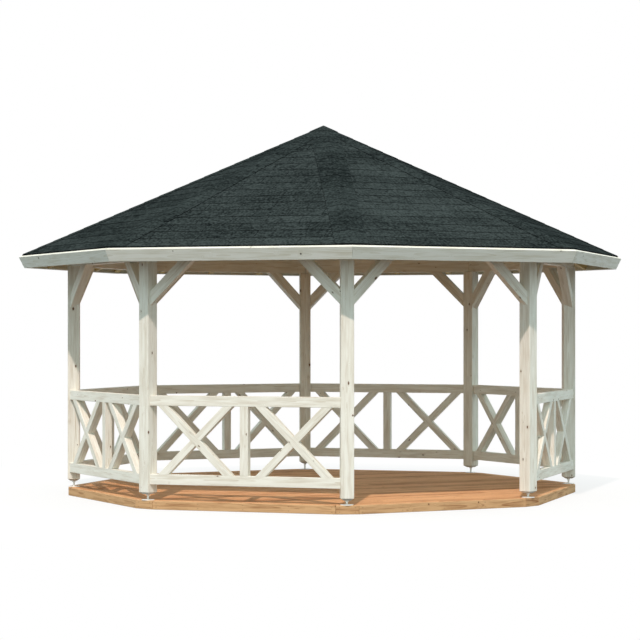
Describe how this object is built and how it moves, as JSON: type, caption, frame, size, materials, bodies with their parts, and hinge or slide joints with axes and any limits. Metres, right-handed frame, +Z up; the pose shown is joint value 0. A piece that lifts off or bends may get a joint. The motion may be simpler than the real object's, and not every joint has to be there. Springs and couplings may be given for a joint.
{
  "type": "garden gazebo",
  "caption": "Open eight-sided timber garden gazebo with a low deck, crossed railings, one open bay, knee braces and a hipped shingle roof.",
  "frame": {"origin": "centre of the deck's underside, on the ground", "axes": "+Z up, -Y out through the open entrance bay, +X to the right of someone facing the entrance"},
  "size_m": [5.666, 5.666, 3.729],
  "materials": {
    "white_timber": "white glazed timber, satin, with faint grain and knots",
    "white_fascia": "white painted boards, satin",
    "deck_boards": "oiled softwood boards, warm brown",
    "deck_rim": "oiled softwood, light brown",
    "deck_frame": "rough sawn impregnated softwood",
    "roof_timber": "planed softwood, glazed",
    "shingle": "mineral granules on bitumen felt, matt dark grey",
    "zinc": "galvanised, satin"
  },
  "bodies": {
    "root": {"apex_cap": "shingle", "deck_floor": "deck_boards", "deck_joists": "deck_frame", "deck_rim_corners": "deck_rim", "deck_rim_sides": "deck_rim", "eave_laths": "white_fascia", "fascia_boards": "white_fascia", "hip_caps": "shingle", "hip_rafters": "roof_timber", "knee_braces": "white_timber", "post_1": "white_timber", "post_2": "white_timber", "post_3": "white_timber", "post_4": "white_timber", "post_5": "white_timber", "post_6": "white_timber", "post_7": "white_timber", "post_8": "white_timber", "post_feet": "zinc", "rafters": "roof_timber", "railing_1": "white_timber", "railing_2": "white_timber", "railing_4": "white_timber", "railing_5": "white_timber", "railing_6": "white_timber", "railing_7": "white_timber", "railing_8": "white_timber", "ring_beams": "white_timber", "roof_boards_1": "roof_timber", "roof_boards_2": "roof_timber", "roof_boards_3": "roof_timber", "roof_boards_4": "roof_timber", "roof_boards_5": "roof_timber", "roof_boards_6": "roof_timber", "roof_boards_7": "roof_timber", "roof_boards_8": "roof_timber", "roof_hub": "roof_timber", "roof_shingles": "shingle"}
  },
  "joints": []
}
